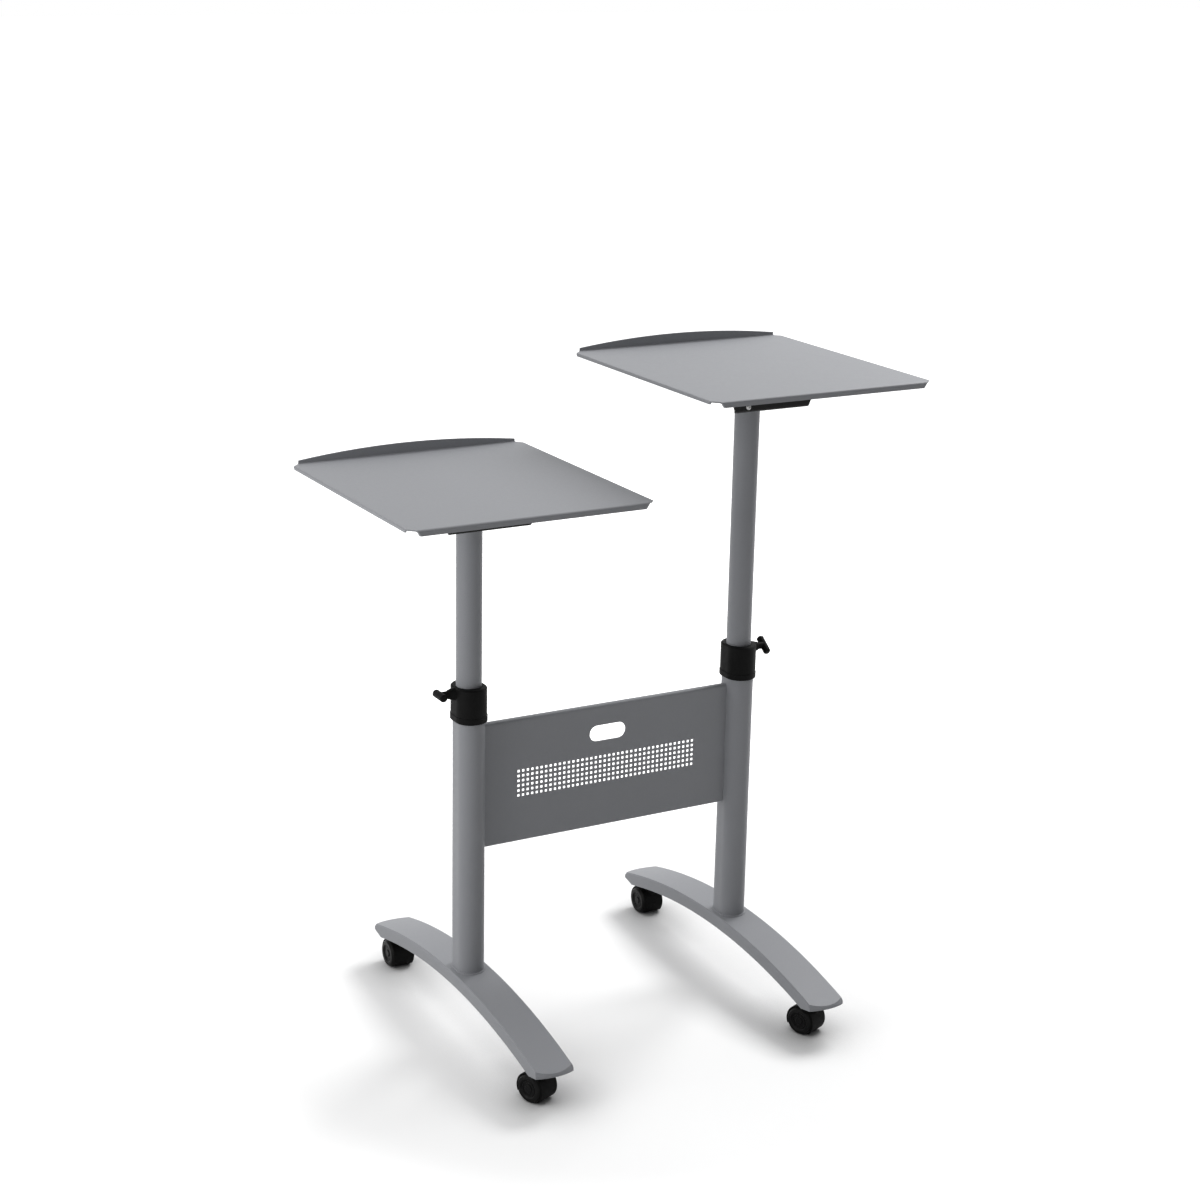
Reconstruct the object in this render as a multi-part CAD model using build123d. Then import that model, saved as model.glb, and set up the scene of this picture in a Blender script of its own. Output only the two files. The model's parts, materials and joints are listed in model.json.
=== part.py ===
from build123d import *
import os
from math import asin, degrees, radians, sqrt, tan

# Portable projector stand: two lifting trays on a wheeled base.
# Millimetres, +Z up, origin on the floor midway between the two columns.
# +X runs from the left column to the right one, +Y is the side with the tray lips.

os.makedirs("parts", exist_ok=True)

# Layout
column_spacing = 480.0
left_tray_height = 887.0
right_tray_height = 1023.0

# Clearances
weld_gap = 0.1
press_gap = 0.05
running_gap = 0.05
slide_gap = 0.5
end_gap = 0.3

# Feet: arched castings, open underneath
foot_length = 600.0
foot_width = 62.5
foot_crown = 108.0
foot_rise = 42.5
foot_depth = 20.5
foot_wall = 3.0
foot_bevel_in = 1.5
foot_bevel_down = 2.5
foot_nose_radius = 58.0
foot_nose_rim = 2.5
foot_nose_undercut = 32.0

# Columns: flat-oval tube with its flat sides facing each other
column_depth = 57.5
column_wall = 1.5

# Posts: round tube that slides in the columns
post_diameter = 39.5
post_wall = 1.5
post_length = 520.0

# Collars: moulded caps that guide and clamp the posts
collar_bottom = 519.0
collar_height = 54.5
collar_wall = 3.0
collar_cap = 21.5
collar_chamfer = 2.0
collar_skirt_chamfer = 4.0
collar_rim_step = 0.8
collar_rim_height = 10.0
collar_rim_bevel = 0.7

# Clamp screws: T-handles threaded through the collar caps
clamp_drop = 10.5
clamp_boss_root_diameter = 20.0
clamp_boss_tip_diameter = 14.0
clamp_boss_reach = 35.0
clamp_thread_diameter = 6.0
clamp_hub_diameter = 11.5
clamp_bar_reach = 48.0
clamp_bar_diameter = 12.0
clamp_bar_length = 32.0
clamp_bar_edge = 2.2
left_clamp_roll = 0.0
right_clamp_roll = 36.0

# Panel between the columns: folded sheet with a hand slot and a perforated field
panel_bottom = 305.0
panel_height = 202.0
panel_sheet = 1.5
panel_face = -4.0
panel_return = 10.0
panel_bend = 3.0
slot_length = 64.0
slot_height = 26.0
slot_drop = 45.5
perforation_size = 4.4
perforation_pitch = 8.0
perforation_columns = 40
perforation_rows = 6
perforation_drop = 105.5

# Tray brackets: folded cradles between post and tray, waisted beside the post
bracket_drop = 56.0
bracket_half_width = 66.0
bracket_waist = 30.0
bracket_waist_length = 50.0
bracket_length = 142.0
bracket_sheet = 3.0
bracket_slope = 19.0
bracket_flange = 20.0
bracket_bend = 1.5

# Trays: sheet with three turned-down edges and an arched lip on the fourth
tray_width = 390.0
tray_depth = 430.0
tray_sheet = 2.0
tray_corner = 14.0
tray_flange = 9.0
tray_flange_slope = 25.0
tray_side_flange = 5.0
tray_bend = 1.5
tray_rim_radius = 2.5
lip_middle = 16.5
lip_end = 5.0

# Casters: hooded twin wheels on swivelling stems
caster_inset = 45.5
caster_trail = 12.0
near_caster_turn = 22.0
far_caster_turn = 0.0
wheel_diameter = 44.0
wheel_width = 14.0
wheel_edge = 2.5
wheel_dish_depth = 2.0
wheel_dish_diameter = 30.0
wheel_side_gap = 0.75
wheel_tread_gap = 1.0
hood_wall = 2.0
hood_edge = 1.2
hood_half_width = 18.5
hood_web = 12.0
hood_cut_height = 8.0
hood_cut_tilt = 12.0
axle_diameter = 6.0
stem_root_diameter = 8.0
stem_root_depth = 14.0
stem_pin_diameter = 11.0
stem_pin_length = 15.0
stem_shoulder_diameter = 15.0
stem_boss_diameter = 18.0
stem_boss_rise = 0.5
socket_wall = 2.5
socket_flange_diameter = 21.0
socket_flange = 2.0
foot_boss_diameter = 23.0

# Sizes that follow from the ones above
half_length = foot_length / 2
foot_radius = (half_length ** 2 + foot_rise ** 2) / (2 * foot_rise)
foot_axis_height = foot_crown - foot_radius
column_width = post_diameter + 2 * slide_gap + 2 * column_wall
collar_top = collar_bottom + collar_height
column_top = collar_top - collar_cap
clamp_height = collar_top - clamp_drop
axle_height = wheel_diameter / 2
stem_y = half_length - caster_inset
hood_radius = wheel_diameter / 2 + wheel_tread_gap + hood_wall
hood_boss_top = axle_height + hood_radius + stem_boss_rise
wheel_bore_depth = wheel_width - 2 * wheel_dish_depth
panel_top = panel_bottom + panel_height
panel_leg = 2 * (panel_bend + panel_sheet)
panel_half = column_spacing / 2 - column_width / 2 - weld_gap


def arch_height(y):
    """Height of the foot's top surface at a distance y from its middle."""
    return foot_axis_height + sqrt(foot_radius ** 2 - y ** 2)


def save(name, solid):
    """Write one piece of the stand to its own file."""
    solid.label = name
    export_step(solid, os.path.join("parts", name + ".step"))


def flat_oval(width, depth):
    """Tube outline with flat sides along Y, width measured along X."""
    return SlotOverall(depth, width, rotation=90)


def prism(sketch, bottom, top):
    """Upright solid from a plan outline between two heights."""
    return extrude(Pos(0, 0, bottom) * sketch, top - bottom)


def foot_section(inset, depth):
    """Bevelled cross-section of a foot at its crown, pulled in by inset."""
    half = foot_width / 2 - inset
    top = foot_crown - inset
    return Plane.XZ * make_face(
        Polyline(
            (-half, top - depth),
            (-half, top - foot_bevel_down),
            (-half + foot_bevel_in, top),
            (half - foot_bevel_in, top),
            (half, top - foot_bevel_down),
            (half, top - depth),
            close=True,
        )
    )


def foot_bar(inset, depth):
    """Foot section turned along the arch, with its rounded bevelled noses."""
    arch_axis = Axis((0, 0, foot_axis_height), (1, 0, 0))
    sweep_half = degrees(asin(half_length / foot_radius)) + 1
    start = foot_section(inset, depth).rotate(arch_axis, -sweep_half)
    bar = revolve(start, arch_axis, 2 * sweep_half)
    nose_y = half_length - foot_nose_radius
    nose_radius = foot_nose_radius - inset
    bevel_height = arch_height(half_length) - foot_bevel_down - inset
    cone_height = foot_crown - bevel_height
    cone_top = nose_radius - foot_bevel_in * cone_height / foot_bevel_down
    middle = Box(2 * foot_width, 2 * nose_y, 2 * foot_crown)
    keep = [middle]
    for side in (-1, 1):
        keep.append(Pos(0, side * nose_y, 0) * prism(Circle(nose_radius), -foot_crown, bevel_height))
        cone = Cone(nose_radius, cone_top, cone_height, align=(Align.CENTER, Align.CENTER, Align.MIN))
        keep.append(Pos(0, side * nose_y, bevel_height) * cone)
    outline = keep[0] + keep[1:]
    return bar & outline


def nose_undercut(side):
    """Wedge that lifts the underside of one end of a foot towards its nose."""
    toe_y = half_length - foot_nose_undercut
    toe_z = arch_height(toe_y) - foot_depth
    rim_z = arch_height(half_length) - foot_bevel_down - foot_nose_rim
    reach = half_length + foot_width
    slope = (rim_z - toe_z) / foot_nose_undercut
    wedge = make_face(
        Polyline(
            (side * toe_y, toe_z),
            (side * reach, toe_z + slope * (reach - toe_y)),
            (side * reach, -foot_crown),
            (side * toe_y, -foot_crown),
            close=True,
        )
    )
    return extrude(Plane.YZ * wedge, foot_width, both=True)


def make_foot():
    """One arched foot: open channel with a boss over each caster."""
    outer = foot_bar(0, foot_depth)
    hollow = foot_bar(foot_wall, 2 * foot_depth)
    foot = outer - hollow
    boss_bottom = arch_height(stem_y) - foot_depth
    bore = stem_pin_diameter / 2 + running_gap + socket_wall + press_gap
    for side in (-1, 1):
        boss = prism(Circle(foot_boss_diameter / 2), boss_bottom, foot_crown)
        foot += (Pos(0, side * stem_y, 0) * boss) & outer
    for side in (-1, 1):
        foot -= nose_undercut(side)
        depth = stem_pin_length + 2 * end_gap
        hole = prism(Circle(bore), boss_bottom - foot_depth, boss_bottom + depth)
        foot -= Pos(0, side * stem_y, 0) * hole
    return foot


def make_column():
    """Flat-oval tube standing on the crown of a foot, its end cut to the arch."""
    outer = flat_oval(column_width, column_depth)
    inner = flat_oval(column_width - 2 * column_wall, column_depth - 2 * column_wall)
    tube = prism(outer - inner, foot_crown - foot_depth, column_top)
    arch = Rot(0, 90, 0) * Cylinder(foot_radius + weld_gap, 2 * foot_width)
    return tube - Pos(0, 0, foot_axis_height) * arch


def clamp_plane(side):
    """Plane whose normal is the clamp screw's axis, pointing out of the collar."""
    return Plane(origin=(0, 0, clamp_height), x_dir=(0, side, 0), z_dir=(side, 0, 0))


def make_collar(side):
    """Moulded cap over a column's end, with a round guide bore and a clamp boss."""
    width = column_width + 2 * (collar_wall + press_gap)
    depth = column_depth + 2 * (collar_wall + press_gap)
    shell = prism(flat_oval(width, depth), collar_bottom, collar_top)
    shell = chamfer(shell.faces().sort_by(Axis.Z)[-1].edges(), collar_chamfer)
    step = 2 * collar_rim_step
    rim_top = collar_bottom + collar_rim_height
    rim = prism(flat_oval(width + step, depth + step), collar_bottom, rim_top)
    rim = chamfer(rim.faces().sort_by(Axis.Z)[0].edges(), collar_rim_step, collar_skirt_chamfer)
    rim = chamfer(rim.faces().sort_by(Axis.Z)[-1].edges(), collar_rim_bevel)
    boss_height = clamp_boss_reach - width / 2
    boss = Cone(clamp_boss_root_diameter / 2, clamp_boss_tip_diameter / 2, boss_height)
    root = extrude(clamp_plane(side) * Circle(clamp_boss_root_diameter / 2), width / 2)
    collar = shell + rim + root + clamp_plane(side).location * Pos(0, 0, width / 2 + boss_height / 2) * boss
    socket = flat_oval(column_width + 2 * press_gap, column_depth + 2 * press_gap)
    collar -= prism(socket, collar_bottom, column_top)
    collar -= prism(Circle(post_diameter / 2 + slide_gap), column_top, collar_top)
    thread = Circle(clamp_thread_diameter / 2 + running_gap)
    return collar - extrude(clamp_plane(side) * thread, clamp_boss_reach)


def make_clamp(side, roll):
    """T-handle screw: threaded core, hub and chamfered cross bar."""
    tip = post_diameter / 2 + end_gap
    hub_start = clamp_boss_reach + end_gap
    core = prism(Circle(clamp_thread_diameter / 2), tip, clamp_bar_reach)
    hub = prism(Circle(clamp_hub_diameter / 2), hub_start, clamp_bar_reach)
    bar = Rot(0, 90, 0) * Cylinder(clamp_bar_diameter / 2, clamp_bar_length)
    bar = chamfer(bar.edges().filter_by(GeomType.CIRCLE), clamp_bar_edge)
    handle = core + hub + Pos(0, 0, clamp_bar_reach) * bar
    return clamp_plane(side).location * Rot(0, 0, roll) * handle


def bent_sheet(points, bends, sheet, inner_radius):
    """Folded sheet section: outline points, with the named outer corners bent.

    Each bend is a pair of outline indices, the outer corner and the inner one.
    """
    section = make_face(Polyline(*points, close=True))
    for outer, inner in bends:
        for index, radius in ((outer, inner_radius + sheet), (inner, inner_radius)):
            corner = Vector(*points[index])
            vertex = section.vertices().sort_by_distance(corner)[0]
            section = fillet(vertex, radius)
    return section


def panel_fold(edge, way):
    """Strip along one edge of the panel, turned back from its face; way is 1 at the top."""
    back = panel_face + panel_return
    inner = panel_face + panel_sheet
    foot_line = edge - way * panel_leg
    inside = edge - way * panel_sheet
    points = (
        (back, edge),
        (panel_face, edge),
        (panel_face, foot_line),
        (inner, foot_line),
        (inner, inside),
        (back, inside),
    )
    section = bent_sheet(points, ((1, 4),), panel_sheet, panel_bend)
    return extrude(Plane.YZ * section, panel_half, both=True)


def make_panel():
    """Folded panel between the columns: perforated web, hand slot and two returns."""
    face = Plane(origin=(0, panel_face, panel_top), x_dir=(1, 0, 0), z_dir=(0, -1, 0))
    flat = Pos(0, -panel_height / 2) * Rectangle(2 * panel_half, panel_height - 2 * panel_leg)
    slot = Pos(0, -slot_drop) * SlotOverall(slot_length, slot_height)
    grid = GridLocations(perforation_pitch, perforation_pitch, perforation_columns, perforation_rows)
    hole = Pos(0, -perforation_drop) * Rectangle(perforation_size, perforation_size)
    web = flat - slot - [spot * hole for spot in grid]
    panel = extrude(face * web, -panel_sheet)
    return panel + [panel_fold(panel_top, 1), panel_fold(panel_bottom, -1)]


def make_post(top):
    """Round tube that carries a tray, its upper end under the bracket."""
    ring = Circle(post_diameter / 2) - Circle(post_diameter / 2 - post_wall)
    return prism(ring, top - post_length, top)


def bracket_waist_cut(side, bottom, reach):
    """Prism that narrows a bracket's floor beside the post, leaving its end plates whole."""
    end = bracket_length / 2 - bracket_sheet - bracket_bend
    waist = bracket_waist_length / 2
    outline = make_face(
        Polyline(
            (side * bracket_waist, -waist),
            (side * bracket_half_width, -end),
            (side * reach, -end),
            (side * reach, end),
            (side * bracket_half_width, end),
            (side * bracket_waist, waist),
            close=True,
        )
    )
    return prism(outline, bottom, bottom + bracket_sheet + bracket_bend)


def make_bracket(tray_top):
    """Folded cradle between a post and its tray: waisted floor and two flared end plates."""
    seat = tray_top - tray_sheet
    bottom = tray_top - bracket_drop
    half = bracket_length / 2
    points = (
        (-half + bracket_flange, seat),
        (-half, seat),
        (-half, bottom),
        (half, bottom),
        (half, seat),
        (half - bracket_flange, seat),
        (half - bracket_flange, seat - bracket_sheet),
        (half - bracket_sheet, seat - bracket_sheet),
        (half - bracket_sheet, bottom + bracket_sheet),
        (-half + bracket_sheet, bottom + bracket_sheet),
        (-half + bracket_sheet, seat - bracket_sheet),
        (-half + bracket_flange, seat - bracket_sheet),
    )
    bends = ((1, 10), (2, 9), (3, 8), (4, 7))
    section = bent_sheet(points, bends, bracket_sheet, bracket_bend)
    top_half = bracket_half_width + (seat - bottom) * tan(radians(bracket_slope))
    cradle = extrude(Plane.YZ * section, top_half, both=True)
    front = make_face(
        Polyline(
            (-bracket_half_width, bottom),
            (bracket_half_width, bottom),
            (top_half, seat),
            (-top_half, seat),
            close=True,
        )
    )
    cradle &= extrude(Plane.XZ * front, half, both=True)
    for side in (-1, 1):
        cradle -= bracket_waist_cut(side, bottom, top_half)
    return cradle


def lip_cut(top):
    """Everything above the arched top edge of a tray's far lip."""
    half = tray_width / 2
    edge = half - tray_corner
    above = top + 2 * lip_middle
    low = top + lip_end
    arc = ThreePointArc((-edge, low), (0, top + lip_middle), (edge, low))
    frame = Polyline((edge, low), (half, low), (half, above), (-half, above), (-half, low), (-edge, low))
    far_face = Plane(origin=(0, tray_depth / 2, 0), x_dir=(1, 0, 0), z_dir=(0, -1, 0))
    return extrude(far_face * make_face(arc + frame), tray_corner)


def corner_cut(side, end, top):
    """Takes off one corner of a tray, slanting the ends of the flanges below it."""
    half = tray_width / 2
    tip = end * tray_depth / 2
    corner = make_face(
        Polyline(
            (side * half, tip),
            (side * (half - tray_corner), tip),
            (side * half, tip - end * tray_corner),
            close=True,
        )
    )
    underside = top - tray_sheet
    slant = extrude(Pos(0, 0, underside) * corner, tray_flange, dir=(0, 0, -1), taper=-tray_flange_slope)
    return prism(corner, underside, top + 2 * lip_middle) + slant


def make_tray(top):
    """Sheet tray: turned-down near edge and sides, and an arched far lip."""
    near = -tray_depth / 2
    far = tray_depth / 2
    points = (
        (near, top - tray_flange),
        (near, top),
        (far - tray_sheet, top),
        (far - tray_sheet, top + lip_middle),
        (far, top + lip_middle),
        (far, top - tray_sheet),
        (near + tray_sheet, top - tray_sheet),
        (near + tray_sheet, top - tray_flange),
    )
    section = bent_sheet(points, ((1, 6), (5, 2)), tray_sheet, tray_bend)
    half = tray_width / 2
    tray = extrude(Plane.YZ * section, half, both=True)
    for side in (-1, 1):
        flange = Pos(side * (half - tray_sheet / 2), 0) * Rectangle(tray_sheet, tray_depth)
        tray += prism(flange, top - tray_side_flange, top - tray_sheet)
    tray -= lip_cut(top)
    for side in (-1, 1):
        tray -= corner_cut(side, -1, top)
        tray -= corner_cut(side, 1, top)
    rims = [tray.edges().sort_by_distance((side * half, 0, top))[0] for side in (-1, 1)]
    return fillet(rims, tray_rim_radius)


def wheel_side(side):
    """Distance from the caster's middle to the inner face of a wheel."""
    return side * (hood_web / 2 + wheel_side_gap)


def make_wheel(side):
    """One caster wheel: bevelled tread, dished outer face and a blind axle bore."""
    radius = wheel_diameter / 2
    bore = axle_diameter / 2 + press_gap
    dish_radius = wheel_dish_diameter / 2
    dish_floor = wheel_width - wheel_dish_depth
    section = make_face(
        Polyline(
            (bore, 0),
            (radius - wheel_edge, 0),
            (radius, wheel_edge),
            (radius, wheel_width - wheel_edge),
            (radius - wheel_edge, wheel_width),
            (dish_radius, wheel_width),
            (dish_radius - wheel_dish_depth, dish_floor),
            (0, dish_floor),
            (0, wheel_bore_depth),
            (bore, wheel_bore_depth),
            close=True,
        )
    )
    wheel = revolve(Plane.XZ * section, Axis.Z)
    return Pos(wheel_side(side), 0, axle_height) * Rot(0, side * 90, 0) * wheel


def make_axle():
    """Round pin through the hood's web into both wheels."""
    reach = wheel_side(1) + wheel_bore_depth - press_gap
    return Pos(0, 0, axle_height) * Rot(0, 90, 0) * Cylinder(axle_diameter / 2, 2 * reach)


def make_hood():
    """Caster body: middle web, rounded cover over the wheels and a stem boss."""
    across = Rot(0, 90, 0)
    cover = across * Cylinder(hood_radius, 2 * hood_half_width)
    cover = chamfer(cover.edges().filter_by(GeomType.CIRCLE), hood_edge)
    cover = Pos(0, 0, axle_height) * cover
    boss = Pos(0, -caster_trail, 0) * prism(Circle(stem_boss_diameter / 2), axle_height, hood_boss_top)
    hood = cover + boss
    pocket_radius = wheel_diameter / 2 + wheel_tread_gap
    for side in (-1, 1):
        middle = side * (hood_web / 2 + foot_width / 2)
        pocket = across * Cylinder(pocket_radius, foot_width)
        hood -= Pos(middle, 0, axle_height) * pocket
    cut = Box(4 * hood_radius, 6 * hood_radius, 4 * hood_radius)
    cut = Rot(hood_cut_tilt, 0, 0) * Pos(0, 0, -2 * hood_radius) * cut
    hood -= Pos(0, 0, hood_cut_height) * cut
    hood -= Pos(0, 0, axle_height) * across * Cylinder(axle_diameter / 2 + running_gap, 2 * hood_web)
    root = Circle(stem_root_diameter / 2 + press_gap)
    hood -= Pos(0, -caster_trail, 0) * prism(root, hood_boss_top - stem_root_depth, hood_boss_top)
    return hood


def make_stem():
    """Steel stem: root in the hood, shoulder, and a pin that turns in the socket."""
    seat = arch_height(stem_y) - foot_depth - socket_flange - end_gap
    root_bottom = hood_boss_top - stem_root_depth + end_gap
    root = prism(Circle(stem_root_diameter / 2), root_bottom, hood_boss_top)
    shoulder = prism(Circle(stem_shoulder_diameter / 2), hood_boss_top, seat)
    pin_top = seat + end_gap + socket_flange + stem_pin_length
    pin = prism(Circle(stem_pin_diameter / 2), seat, pin_top)
    return Pos(0, -caster_trail, 0) * (root + shoulder + pin)


def make_socket():
    """Flanged bush pressed up into a foot's boss."""
    top = arch_height(stem_y) - foot_depth
    inner = stem_pin_diameter / 2 + running_gap
    flange = prism(Circle(socket_flange_diameter / 2), top - socket_flange, top)
    sleeve = prism(Circle(inner + socket_wall), top, top + stem_pin_length)
    bore = prism(Circle(inner), top - socket_flange, top + stem_pin_length)
    return flange + sleeve - bore


def place_caster(column_x, end, turn):
    """Carries a caster modelled on its axle to its stem, turned about the stem."""
    return Pos(column_x, end * stem_y, 0) * Rot(0, 0, turn) * Pos(0, caster_trail, 0)


foot = make_foot()
column = make_column()
socket = make_socket()
hood = make_hood()
stem = make_stem()
axle = make_axle()

for side_name, side, tray_top, roll in (
    ("left", -1, left_tray_height, left_clamp_roll),
    ("right", 1, right_tray_height, right_clamp_roll),
):
    column_x = side * column_spacing / 2
    at_column = Pos(column_x, 0, 0)
    save(side_name + "_foot", at_column * foot)
    save(side_name + "_column", at_column * column)
    save(side_name + "_collar", at_column * make_collar(side))
    save(side_name + "_clamp_screw", at_column * make_clamp(side, roll))
    save(side_name + "_post", at_column * make_post(tray_top - bracket_drop))
    save(side_name + "_tray_bracket", at_column * make_bracket(tray_top))
    save(side_name + "_tray", at_column * make_tray(tray_top))
    for end_name, end, turn in (("near", -1, near_caster_turn), ("far", 1, far_caster_turn)):
        caster = side_name + "_" + end_name + "_caster"
        at_caster = place_caster(column_x, end, turn)
        save(caster + "_socket", Pos(column_x, end * stem_y, 0) * socket)
        save(caster + "_hood", at_caster * hood)
        save(caster + "_stem", at_caster * stem)
        save(caster + "_axle", at_caster * axle)
        save(caster + "_inner_wheel", at_caster * make_wheel(-side))
        save(caster + "_outer_wheel", at_caster * make_wheel(side))

save("crossbar_panel", make_panel())
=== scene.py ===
import json
from math import cos, pi, radians, sin, sqrt

import bpy
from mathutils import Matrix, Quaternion, Vector


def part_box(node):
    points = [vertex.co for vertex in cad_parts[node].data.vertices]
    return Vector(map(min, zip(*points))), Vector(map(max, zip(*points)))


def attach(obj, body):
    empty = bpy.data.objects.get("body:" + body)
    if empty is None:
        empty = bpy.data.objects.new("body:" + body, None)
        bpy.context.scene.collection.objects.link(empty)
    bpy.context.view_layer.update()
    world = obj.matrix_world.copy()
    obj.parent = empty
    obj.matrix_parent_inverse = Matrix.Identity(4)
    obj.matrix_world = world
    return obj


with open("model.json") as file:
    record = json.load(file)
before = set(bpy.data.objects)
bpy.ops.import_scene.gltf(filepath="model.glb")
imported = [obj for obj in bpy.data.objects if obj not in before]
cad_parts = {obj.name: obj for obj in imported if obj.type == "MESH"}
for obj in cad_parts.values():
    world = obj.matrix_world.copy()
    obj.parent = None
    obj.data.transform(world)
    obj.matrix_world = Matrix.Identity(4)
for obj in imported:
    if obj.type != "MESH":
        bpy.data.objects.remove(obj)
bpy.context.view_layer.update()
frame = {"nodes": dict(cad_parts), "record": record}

# Portable projector stand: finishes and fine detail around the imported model.
# Metres, +Z up, origin on the floor midway between the two columns.

# Camera, at the photograph's viewing angle
camera_target = Vector((-0.0163, 0.0, 0.678))
camera_distance = 3.577
camera_yaw = radians(29.33)
camera_pitch = radians(16.75)
camera_roll = radians(1.13)
camera_lens = 69.74
camera_sensor = 36.0
camera_clip = 200.0

# Light: a soft box on the right, a weaker one on the left, and a room that is pale overhead and behind
key_place = Vector((2.5, 0.85, 3.1))
key_aim = Vector((0.0, 0.0, 0.4))
key_size = (1.7, 1.7)
key_power = 90.0
room_bright_side = Vector((-0.20, 0.66, 0.72))
room_low = 0.05
room_high = 1.34
room_falloff = 3.0
side_place = Vector((-1.30, -0.20, 0.80))
side_aim = Vector((-0.24, 0.0, 0.50))
side_size = (0.6, 1.0)
side_power = 5.0

# Nuts under the trays, on the brackets' upper flanges
nut_spread = 0.050
nut_inset = 0.0125
nut_flange_radius = 0.0055
nut_flange_height = 0.0012
nut_flange_bevel = 0.0006
nut_radius = 0.0046
nut_height = 0.0048
nut_bevel = 0.0005
stud_radius = 0.0025
stud_reach = 0.0022
bracket_sheet = 0.003

# Bolt that holds each bracket to its post
bolt_washer_radius = 0.012
bolt_washer_height = 0.002
bolt_washer_bevel = 0.0005
bolt_radius = 0.0098
bolt_height = 0.0064
bolt_bevel = 0.0008

# Round-headed screw low on each bracket's near plate
screw_offset = 0.044
screw_rise = 0.009
screw_radius = 0.0046
screw_height = 0.0028
screw_dome_steps = 9
screw_socket_radius = 0.0018
screw_socket_floor_radius = 0.00162
screw_socket_depth = 0.0014

# Weld beads round the columns' feet and behind the panel's ends
arch_radius = 1.0801
bead_radius = 0.0019
bead_ripple = 0.00018
bead_ripple_pitch = 0.0032
bead_steps = 260
bead_ring = 10
stitch_length = 0.028
stitch_steps = 48
stitch_heights = (0.340, 0.406, 0.472)
stitch_taper = 0.125
stitch_tip = 0.25
panel_web_back = -0.0025

# Hub caps in the caster wheels' dished faces
wheel_dish_floor = 0.01875
hub_radius = 0.0064
hub_height = 0.0014
hub_bevel = 0.0007
hub_ring_radius = 0.0110
hub_ring_width = 0.0011
hub_ring_height = 0.0006
hub_ring_bevel = 0.0003

# Fineness of the added meshes and of the softened edges
round_segments = 48
hex_segments = 6
smooth_angle = radians(32)
edge_samples = 4

# Floor, its painted contact shade, and the white that it fades to
white = (1.0, 1.0, 1.0, 1.0)
floor_size = 60.0
floor_roughness = 0.9
floor_shown = (1.0, 1.0, 1.0)
# Floor colour that the camera sees, darkened by ambient occlusion near the stand: painted shade around the
# feet and casters
floor_painted_shade = (0.25, 0.25, 0.25)
floor_painted_shade_reach = 0.10
floor_painted_shade_samples = 8
floor_bounce = (0.62, 0.62, 0.62)
floor_fade_start = 0.55
floor_fade_end = 1.00
floor_fade_glow = 0.60


# Node helpers


def new_material(name):
    """Node material with a Principled shader, its node tree and that shader."""
    material = bpy.data.materials.new(name)
    material.use_nodes = True
    tree = material.node_tree
    shader = tree.nodes["Principled BSDF"]
    return material, tree, shader


def noise(tree, coordinates, scale, detail=2.0, roughness=0.5):
    """Noise texture on the given coordinates, in features per metre."""
    node = tree.nodes.new("ShaderNodeTexNoise")
    node.inputs["Scale"].default_value = scale
    node.inputs["Detail"].default_value = detail
    node.inputs["Roughness"].default_value = roughness
    tree.links.new(coordinates, node.inputs["Vector"])
    return node.outputs["Fac"]


def ramp(tree, value, low=0.0, high=1.0, from_low=0.3, from_high=0.7):
    """Maps a value from one range of numbers onto another."""
    node = tree.nodes.new("ShaderNodeMapRange")
    node.inputs["From Min"].default_value = from_low
    node.inputs["From Max"].default_value = from_high
    node.inputs["To Min"].default_value = low
    node.inputs["To Max"].default_value = high
    tree.links.new(value, node.inputs["Value"])
    return node.outputs["Result"]


def mix(tree, factor, first, second):
    """Blend of two colours by a factor."""
    node = tree.nodes.new("ShaderNodeMix")
    node.data_type = "RGBA"
    tree.links.new(factor, node.inputs["Factor"])
    for name, colour in (("A", first), ("B", second)):
        socket = [s for s in node.inputs if s.name == name and s.type == "RGBA"][0]
        if hasattr(colour, "is_linked"):
            tree.links.new(colour, socket)
        else:
            socket.default_value = (*colour, 1.0)
    return [s for s in node.outputs if s.type == "RGBA"][0]


def bump(tree, height, strength, distance, normal=None):
    """Bump of a height pattern, on top of another normal if one is given."""
    node = tree.nodes.new("ShaderNodeBump")
    node.inputs["Strength"].default_value = strength
    node.inputs["Distance"].default_value = distance
    tree.links.new(height, node.inputs["Height"])
    if normal is not None:
        tree.links.new(normal, node.inputs["Normal"])
    return node.outputs["Normal"]


def rounded_edges(tree, radius):
    """Normals that soften the sharp edges of a solid."""
    node = tree.nodes.new("ShaderNodeBevel")
    node.samples = edge_samples
    node.inputs["Radius"].default_value = radius
    return node.outputs["Normal"]


def object_coordinates(tree):
    """Coordinates that stay with the piece."""
    return tree.nodes.new("ShaderNodeTexCoord").outputs["Object"]


# Finishes


def grey_coat():
    """Silver-grey powder coat: fine speckle, slight orange peel and a soft sheen."""
    material, tree, shader = new_material("grey_coat_finish")
    place = object_coordinates(tree)
    darker = (0.251, 0.257, 0.273)
    lighter = (0.257, 0.263, 0.280)
    fleck = (0.300, 0.306, 0.325)
    cloud = ramp(tree, noise(tree, place, scale=5.0, detail=3.0))
    flecks = ramp(tree, noise(tree, place, scale=2600.0, detail=1.0), from_low=0.35, from_high=0.75)
    base = mix(tree, cloud, darker, lighter)
    tree.links.new(mix(tree, flecks, base, fleck), shader.inputs["Base Color"])
    sheen = ramp(tree, noise(tree, place, scale=150.0, detail=3.0), low=0.46, high=0.50)
    tree.links.new(sheen, shader.inputs["Roughness"])
    shader.inputs["Specular IOR Level"].default_value = 0.2
    peel = noise(tree, place, scale=700.0, detail=2.0)
    tree.links.new(bump(tree, peel, strength=0.025, distance=0.0003), shader.inputs["Normal"])
    return material


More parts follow.
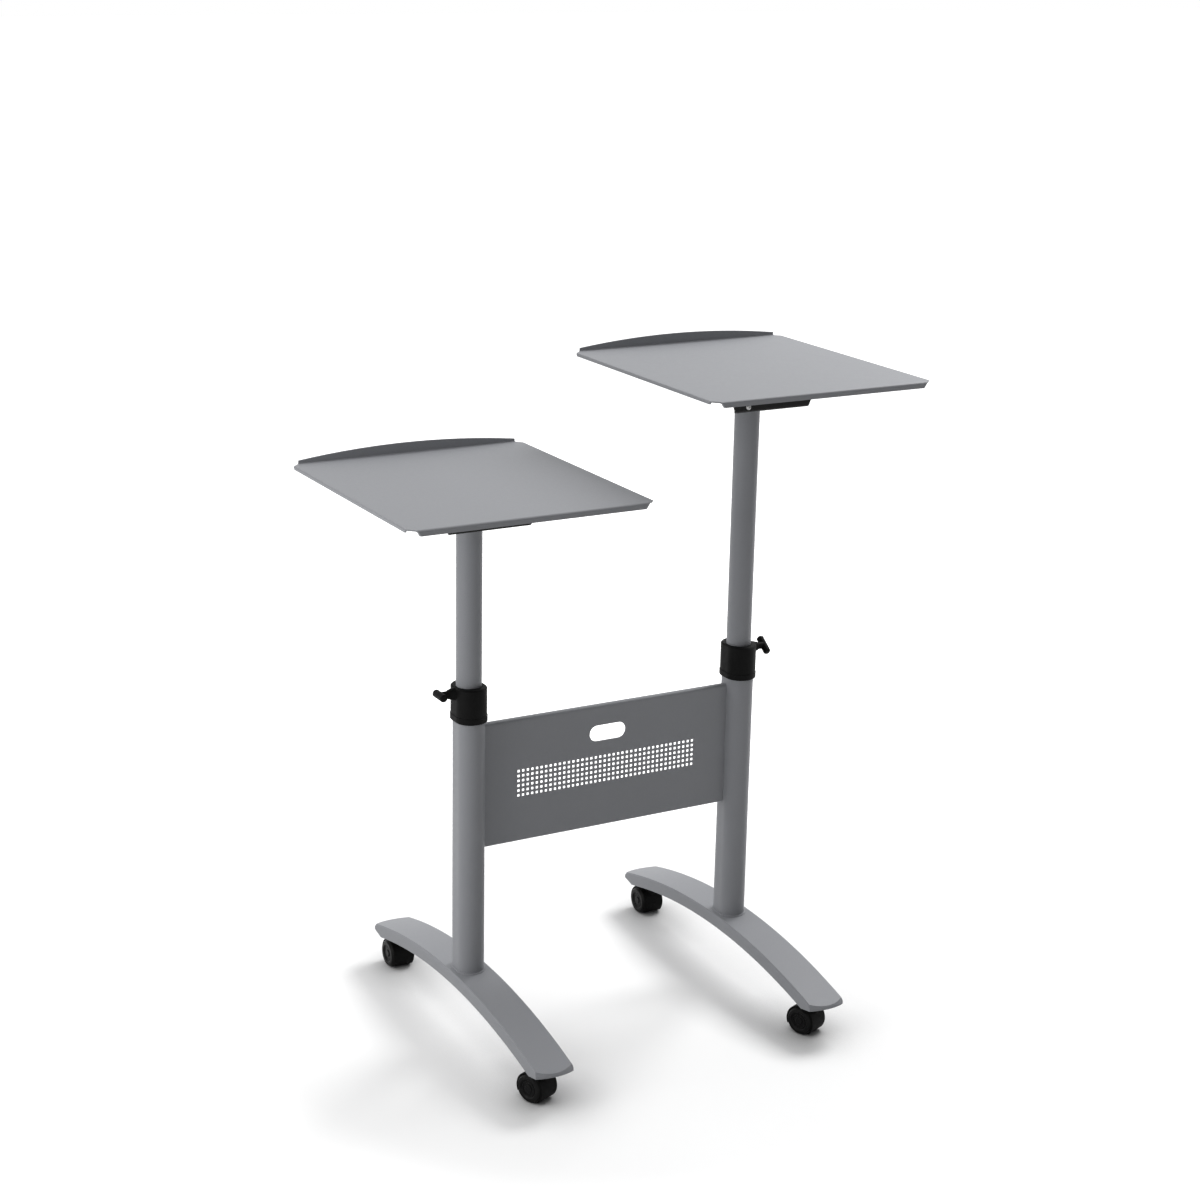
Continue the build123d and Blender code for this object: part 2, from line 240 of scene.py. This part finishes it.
def black_plastic():
    """Black moulded nylon with a fine spark-eroded grain."""
    material, tree, shader = new_material("black_plastic_finish")
    place = object_coordinates(tree)
    darker = (0.004, 0.004, 0.004)
    lighter = (0.007, 0.007, 0.007)
    cloud = ramp(tree, noise(tree, place, scale=40.0, detail=3.0))
    tree.links.new(mix(tree, cloud, darker, lighter), shader.inputs["Base Color"])
    sheen = ramp(tree, noise(tree, place, scale=150.0, detail=3.0), low=0.48, high=0.56)
    tree.links.new(sheen, shader.inputs["Roughness"])
    shader.inputs["Specular IOR Level"].default_value = 0.05
    edges = rounded_edges(tree, radius=0.0009)
    grain = noise(tree, place, scale=1500.0, detail=3.0)
    tree.links.new(bump(tree, grain, strength=0.12, distance=0.0003, normal=edges), shader.inputs["Normal"])
    return material


def black_wheel():
    """Black nylon wheel, smoother than the hood, with faint rolling scuffs."""
    material, tree, shader = new_material("black_wheel_finish")
    place = object_coordinates(tree)
    clean = (0.005, 0.005, 0.005)
    scuffed = (0.016, 0.016, 0.016)
    marks = noise(tree, place, scale=160.0, detail=4.0, roughness=0.7)
    scuff = ramp(tree, marks, from_low=0.55, from_high=0.8)
    tree.links.new(mix(tree, scuff, clean, scuffed), shader.inputs["Base Color"])
    sheen = ramp(tree, scuff, low=0.32, high=0.55, from_low=0.0, from_high=1.0)
    tree.links.new(sheen, shader.inputs["Roughness"])
    shader.inputs["Specular IOR Level"].default_value = 0.10
    edges = rounded_edges(tree, radius=0.0011)
    grain = noise(tree, place, scale=900.0, detail=2.0)
    tree.links.new(bump(tree, grain, strength=0.05, distance=0.0003, normal=edges), shader.inputs["Normal"])
    return material


def black_coat():
    """Satin black coat on folded steel, with orange peel."""
    material, tree, shader = new_material("black_coat_finish")
    place = object_coordinates(tree)
    darker = (0.005, 0.005, 0.005)
    lighter = (0.009, 0.009, 0.009)
    cloud = ramp(tree, noise(tree, place, scale=12.0, detail=3.0))
    tree.links.new(mix(tree, cloud, darker, lighter), shader.inputs["Base Color"])
    sheen = ramp(tree, noise(tree, place, scale=150.0, detail=3.0), low=0.48, high=0.53)
    tree.links.new(sheen, shader.inputs["Roughness"])
    shader.inputs["Specular IOR Level"].default_value = 0.10
    peel = noise(tree, place, scale=650.0, detail=2.0)
    tree.links.new(bump(tree, peel, strength=0.04, distance=0.0003), shader.inputs["Normal"])
    return material


def zinc_steel():
    """Dull zinc plating with a fine grain and a faint bloom."""
    material, tree, shader = new_material("zinc_steel_finish")
    place = object_coordinates(tree)
    darker = (0.24, 0.24, 0.245)
    lighter = (0.32, 0.32, 0.315)
    bloom = ramp(tree, noise(tree, place, scale=120.0, detail=4.0))
    tree.links.new(mix(tree, bloom, darker, lighter), shader.inputs["Base Color"])
    sheen = ramp(tree, bloom, low=0.24, high=0.40, from_low=0.0, from_high=1.0)
    tree.links.new(sheen, shader.inputs["Roughness"])
    shader.inputs["Metallic"].default_value = 1.0
    edges = rounded_edges(tree, radius=0.0006)
    grain = noise(tree, place, scale=1800.0, detail=1.0)
    tree.links.new(bump(tree, grain, strength=0.12, distance=0.0002, normal=edges), shader.inputs["Normal"])
    return material


finishes = {
    "grey_coat": grey_coat(),
    "black_coat": black_coat(),
    "black_plastic": black_plastic(),
    "black_wheel": black_wheel(),
    "zinc_steel": zinc_steel(),
}


def dress_nodes():
    """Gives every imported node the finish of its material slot."""
    for part in frame["record"]["subparts"]:
        node = frame["nodes"][part["node"]]
        node.data.materials.clear()
        node.data.materials.append(finishes[part["material_slot"]])


# Added detail


def lathe(profile, segments):
    """Closed solid turned about Z from radius and height pairs that start and end on the axis."""
    rings = profile[1:-1]
    points = [Vector((0.0, 0.0, profile[0][1]))]
    for radius, height in rings:
        for step in range(segments):
            angle = 2 * pi * step / segments
            points.append(Vector((radius * cos(angle), radius * sin(angle), height)))
    points.append(Vector((0.0, 0.0, profile[-1][1])))
    last = len(points) - 1
    faces = []
    for step in range(segments):
        after = (step + 1) % segments
        faces.append((0, 1 + after, 1 + step))
        for ring in range(len(rings) - 1):
            low = 1 + ring * segments
            high = low + segments
            faces.append((low + step, low + after, high + after, high + step))
        top = 1 + (len(rings) - 1) * segments
        faces.append((last, top + step, top + after))
    return points, faces


def ring_lathe(profile, segments):
    """Closed ring turned about Z from a closed outline of radius and height pairs."""
    count = len(profile)
    points = []
    for step in range(segments):
        angle = 2 * pi * step / segments
        for radius, height in profile:
            points.append(Vector((radius * cos(angle), radius * sin(angle), height)))
    faces = []
    for step in range(segments):
        here = step * count
        there = (step + 1) % segments * count
        for corner in range(count):
            after = (corner + 1) % count
            faces.append((here + corner, there + corner, there + after, here + after))
    return points, faces


def stood(shape, place, axis):
    """A turned shape moved to a place, with its Z along an axis."""
    points, faces = shape
    turn = Vector((0.0, 0.0, 1.0)).rotation_difference(Vector(axis))
    return [Vector(place) + turn @ point for point in points], faces


def swept(line, radii, side, closed):
    """Round bead along a line of points, closed on itself or with two small flat ends."""
    count = len(line)
    points = []
    for step in range(count):
        before = line[step - 1] if closed or step > 0 else line[step]
        after = line[(step + 1) % count] if closed or step < count - 1 else line[step]
        along = (after - before).normalized()
        across = side - along * side.dot(along)
        across.normalize()
        third = along.cross(across)
        for corner in range(bead_ring):
            angle = 2 * pi * corner / bead_ring
            points.append(line[step] + (across * cos(angle) + third * sin(angle)) * radii[step])
    faces = []
    for step in range(count if closed else count - 1):
        here = step * bead_ring
        there = (step + 1) % count * bead_ring
        for corner in range(bead_ring):
            after = (corner + 1) % bead_ring
            faces.append((here + corner, here + after, there + after, there + corner))
    if not closed:
        final = (count - 1) * bead_ring
        faces.append(tuple(reversed(range(bead_ring))))
        faces.append(tuple(range(final, final + bead_ring)))
    return points, faces


def add_piece(name, shapes, slot, body):
    """One mesh from several shapes, in a slot's finish, that rides on a body."""
    points = []
    faces = []
    for shape_points, shape_faces in shapes:
        start = len(points)
        points.extend(shape_points)
        faces.extend(tuple(start + corner for corner in face) for face in shape_faces)
    mesh = bpy.data.meshes.new(name)
    mesh.from_pydata([tuple(point) for point in points], [], faces)
    mesh.polygons.foreach_set("use_smooth", [True] * len(faces))
    mesh.set_sharp_from_angle(angle=smooth_angle)
    mesh.materials.append(finishes[slot])
    piece = bpy.data.objects.new(name, mesh)
    bpy.context.scene.collection.objects.link(piece)
    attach(piece, body)


def turned_head(radius, height, bevel):
    """Profile of a flat head with a bevelled upper edge."""
    return [(0.0, 0.0), (radius, 0.0), (radius, height - bevel), (radius - bevel, height), (0.0, height)]


def add_tray_nuts(side):
    """Four flange nuts on studs, under the flanges that carry a tray."""
    low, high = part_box(side + "_tray_bracket")
    middle = (low.x + high.x) / 2
    flange = lathe(turned_head(nut_flange_radius, nut_flange_height, nut_flange_bevel), round_segments)
    nut = lathe(turned_head(nut_radius, nut_height, nut_bevel), hex_segments)
    stud = lathe(turned_head(stud_radius, nut_height + stud_reach, nut_bevel), round_segments)
    nuts = []
    for x in (middle - nut_spread, middle + nut_spread):
        for y in (low.y + nut_inset, high.y - nut_inset):
            for shape in (flange, nut, stud):
                nuts.append(stood(shape, (x, y, high.z - bracket_sheet), (0, 0, -1)))
    add_piece(side + "_tray_nuts", nuts, "zinc_steel", side + "_lift")


def add_post_bolt(side):
    """Washer and hexagon head on a bracket's floor, over its post."""
    low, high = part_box(side + "_tray_bracket")
    seat = ((low.x + high.x) / 2, 0, low.z + bracket_sheet)
    washer = lathe(turned_head(bolt_washer_radius, bolt_washer_height, bolt_washer_bevel), round_segments)
    head = lathe(turned_head(bolt_radius, bolt_washer_height + bolt_height, bolt_bevel), hex_segments)
    bolt = [stood(shape, seat, (0, 0, 1)) for shape in (washer, head)]
    add_piece(side + "_post_bolt", bolt, "zinc_steel", side + "_lift")


def domed_head():
    """Profile of a round screw head with a socket in its top."""
    angles = [pi / 2 * step / screw_dome_steps for step in range(1, screw_dome_steps)]
    dome = [(screw_radius * cos(angle), screw_height * sin(angle)) for angle in angles]
    brim = dome[-1][1]
    floor = brim - screw_socket_depth
    profile = [(0.0, 0.0), (screw_radius, 0.0)]
    profile += [point for point in dome if point[0] > screw_socket_radius]
    profile += [(screw_socket_radius, brim), (screw_socket_floor_radius, floor), (0.0, floor)]
    return profile


def add_bracket_screw(side):
    """Round-headed screw low on a bracket's near plate, left of the post."""
    low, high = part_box(side + "_tray_bracket")
    place = ((low.x + high.x) / 2 - screw_offset, low.y, low.z + screw_rise)
    screw = stood(lathe(domed_head(), round_segments), place, (0, -1, 0))
    add_piece(side + "_bracket_screw", [screw], "zinc_steel", side + "_lift")


def rippled(count, pitch_steps):
    """Bead radii with the slight waves that welding leaves."""
    return [bead_radius + bead_ripple * sin(2 * pi * step / pitch_steps) for step in range(count)]


def oval_point(gone, radius, straight):
    """Point on a flat oval's outline, a distance along it from the right end of its far arc."""
    arc = pi * radius
    if gone < arc:
        angle = gone / radius
        return radius * cos(angle), straight + radius * sin(angle)
    gone -= arc
    if gone < 2 * straight:
        return -radius, straight - gone
    gone -= 2 * straight
    if gone < arc:
        angle = pi + gone / radius
        return radius * cos(angle), -straight + radius * sin(angle)
    return radius, -straight + gone - arc


def add_foot_weld(side):
    """Bead round a column where it stands on its arched foot."""
    low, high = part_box(side + "_column")
    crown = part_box(side + "_foot")[1].z
    middle = (low.x + high.x) / 2
    radius = (high.x - low.x) / 2
    straight = (high.y - low.y) / 2 - radius
    length = 2 * pi * radius + 4 * straight
    line = []
    for step in range(bead_steps):
        x, y = oval_point(length * step / bead_steps, radius, straight)
        fall = arch_radius - sqrt(arch_radius ** 2 - y ** 2)
        line.append(Vector((middle + x, y, crown - fall)))
    waves = round(length / bead_ripple_pitch)
    radii = rippled(bead_steps, bead_steps / waves)
    add_piece(side + "_foot_weld", [swept(line, radii, Vector((0, 0, 1)), True)], "grey_coat", "base")


def add_panel_welds():
    """Short beads behind the panel where its ends meet the columns."""
    low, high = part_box("crossbar_panel")
    waves = round(stitch_length / bead_ripple_pitch)
    stitches = []
    for x in (low.x, high.x):
        for height in stitch_heights:
            line = []
            radii = rippled(stitch_steps + 1, stitch_steps / waves)
            for step in range(stitch_steps + 1):
                share = step / stitch_steps
                line.append(Vector((x, panel_web_back, height + stitch_length * (share - 0.5))))
                edge = min(1.0, min(share, 1 - share) / stitch_taper)
                radii[step] *= stitch_tip + (1 - stitch_tip) * sqrt(edge * (2 - edge))
            stitches.append(swept(line, radii, Vector((1, 0, 0)), False))
    add_piece("panel_welds", stitches, "grey_coat", "base")


def add_hub_caps(joint):
    """Round caps and a raised ring in the two dished faces of a caster's wheels."""
    axis = Vector(joint["axis"]).normalized()
    middle = Vector(joint["pos_m"])
    cap = lathe(turned_head(hub_radius, hub_height, hub_bevel), round_segments)
    inner = hub_ring_radius - hub_ring_width / 2
    outer = hub_ring_radius + hub_ring_width / 2
    outline = [
        (inner, 0.0),
        (outer, 0.0),
        (outer - hub_ring_bevel, hub_ring_height),
        (inner + hub_ring_bevel, hub_ring_height),
    ]
    ring = ring_lathe(outline, round_segments)
    shapes = []
    for way in (1, -1):
        place = middle + axis * way * wheel_dish_floor
        for shape in (cap, ring):
            shapes.append(stood(shape, place, axis * way))
    add_piece(joint["child"] + "_hub_caps", shapes, "black_wheel", joint["child"])


def add_detail():
    """Every piece that is only in the visual model."""
    for side in ("left", "right"):
        add_tray_nuts(side)
        add_post_bolt(side)
        add_bracket_screw(side)
        add_foot_weld(side)
    add_panel_welds()
    for joint in frame["record"]["behaviour"]["joints"]:
        if joint["name"].endswith("_roll"):
            add_hub_caps(joint)


# Stage


def seen_by_camera(tree):
    """1 for camera, glossy and transmitted rays, else 0."""
    path = tree.nodes.new("ShaderNodeLightPath")
    either = tree.nodes.new("ShaderNodeMath")
    either.operation = "MAXIMUM"
    tree.links.new(path.outputs["Is Camera Ray"], either.inputs[0])
    tree.links.new(path.outputs["Is Glossy Ray"], either.inputs[1])
    every = tree.nodes.new("ShaderNodeMath")
    every.operation = "MAXIMUM"
    tree.links.new(either.outputs[0], every.inputs[0])
    tree.links.new(path.outputs["Is Transmission Ray"], every.inputs[1])
    return every.outputs[0]


def add_floor():
    """Floor that shows white to the camera, with painted shade from ambient occlusion near the stand, and
    keeps the shadow close to the stand.
    """
    half = floor_size / 2
    mesh = bpy.data.meshes.new("floor")
    corners = [(-half, -half, 0), (half, -half, 0), (half, half, 0), (-half, half, 0)]
    mesh.from_pydata(corners, [], [(0, 1, 2, 3)])
    floor = bpy.data.objects.new("floor", mesh)
    bpy.context.scene.collection.objects.link(floor)
    material, tree, shader = new_material("floor_finish")
    seen = seen_by_camera(tree)
    # Ambient occlusion darkens the floor's colour near the stand: painted contact shade around the feet and
    # casters
    painted_shade = tree.nodes.new("ShaderNodeAmbientOcclusion")
    painted_shade.samples = floor_painted_shade_samples
    painted_shade.inputs["Distance"].default_value = floor_painted_shade_reach
    shown_with_painted_shade = mix(tree, painted_shade.outputs["AO"], floor_painted_shade, floor_shown)
    tree.links.new(mix(tree, seen, floor_bounce, shown_with_painted_shade), shader.inputs["Base Color"])
    shader.inputs["Roughness"].default_value = floor_roughness
    shader.inputs["Specular IOR Level"].default_value = 0.0
    shader.inputs["Emission Color"].default_value = white
    reach = tree.nodes.new("ShaderNodeVectorMath")
    reach.operation = "LENGTH"
    tree.links.new(object_coordinates(tree), reach.inputs[0])
    fade = ramp(tree, reach.outputs["Value"], 0.0, floor_fade_glow, floor_fade_start, floor_fade_end)
    glow = tree.nodes.new("ShaderNodeMath")
    glow.operation = "MULTIPLY"
    tree.links.new(fade, glow.inputs[1])
    tree.links.new(seen, glow.inputs[0])
    tree.links.new(glow.outputs[0], shader.inputs["Emission Strength"])
    mesh.materials.append(material)


def add_room():
    """White to the camera, and a soft room with one bright side to everything else."""
    world = bpy.data.worlds.new("room")
    world.use_nodes = True
    tree = world.node_tree
    background = tree.nodes["Background"]
    background.inputs["Color"].default_value = white
    facing = tree.nodes.new("ShaderNodeVectorMath")
    facing.operation = "DOT_PRODUCT"
    facing.inputs[1].default_value = room_bright_side.normalized()
    tree.links.new(tree.nodes.new("ShaderNodeTexCoord").outputs["Generated"], facing.inputs[0])
    share = tree.nodes.new("ShaderNodeMath")
    share.operation = "POWER"
    share.inputs[1].default_value = room_falloff
    toward = ramp(tree, facing.outputs["Value"], from_low=-1.0, from_high=1.0)
    tree.links.new(toward, share.inputs[0])
    strength = tree.nodes.new("ShaderNodeMapRange")
    tree.links.new(seen_by_camera(tree), strength.inputs["Value"])
    level = ramp(tree, share.outputs[0], room_low, room_high, from_low=0.0, from_high=1.0)
    tree.links.new(level, strength.inputs["To Min"])
    strength.inputs["To Max"].default_value = 1.0
    tree.links.new(strength.outputs["Result"], background.inputs["Strength"])
    bpy.context.scene.world = world


def add_soft_box(name, place, aim, size, power):
    """Rectangular lamp at a place, turned to a point."""
    lamp = bpy.data.lights.new(name, "AREA")
    lamp.shape = "RECTANGLE"
    lamp.size, lamp.size_y = size
    lamp.energy = power
    holder = bpy.data.objects.new(name, lamp)
    holder.location = place
    holder.rotation_euler = (aim - place).to_track_quat("-Z", "Y").to_euler()
    bpy.context.scene.collection.objects.link(holder)


def add_camera():
    """Camera on the photograph's line of sight."""
    level = cos(camera_pitch)
    line = Vector((sin(camera_yaw) * level, cos(camera_yaw) * level, -sin(camera_pitch)))
    data = bpy.data.cameras.new("camera")
    data.lens = camera_lens
    data.sensor_width = camera_sensor
    data.clip_end = camera_clip
    camera = bpy.data.objects.new("camera", data)
    camera.location = camera_target - line * camera_distance
    turn = line.to_track_quat("-Z", "Y") @ Quaternion((0, 0, 1), camera_roll)
    camera.rotation_euler = turn.to_euler()
    bpy.context.scene.collection.objects.link(camera)
    bpy.context.scene.camera = camera


dress_nodes()
add_detail()
add_floor()
add_room()
add_soft_box("key_box", key_place, key_aim, key_size, key_power)
add_soft_box("side_box", side_place, side_aim, side_size, side_power)
add_camera()
bpy.context.scene.view_settings.view_transform = "Standard"
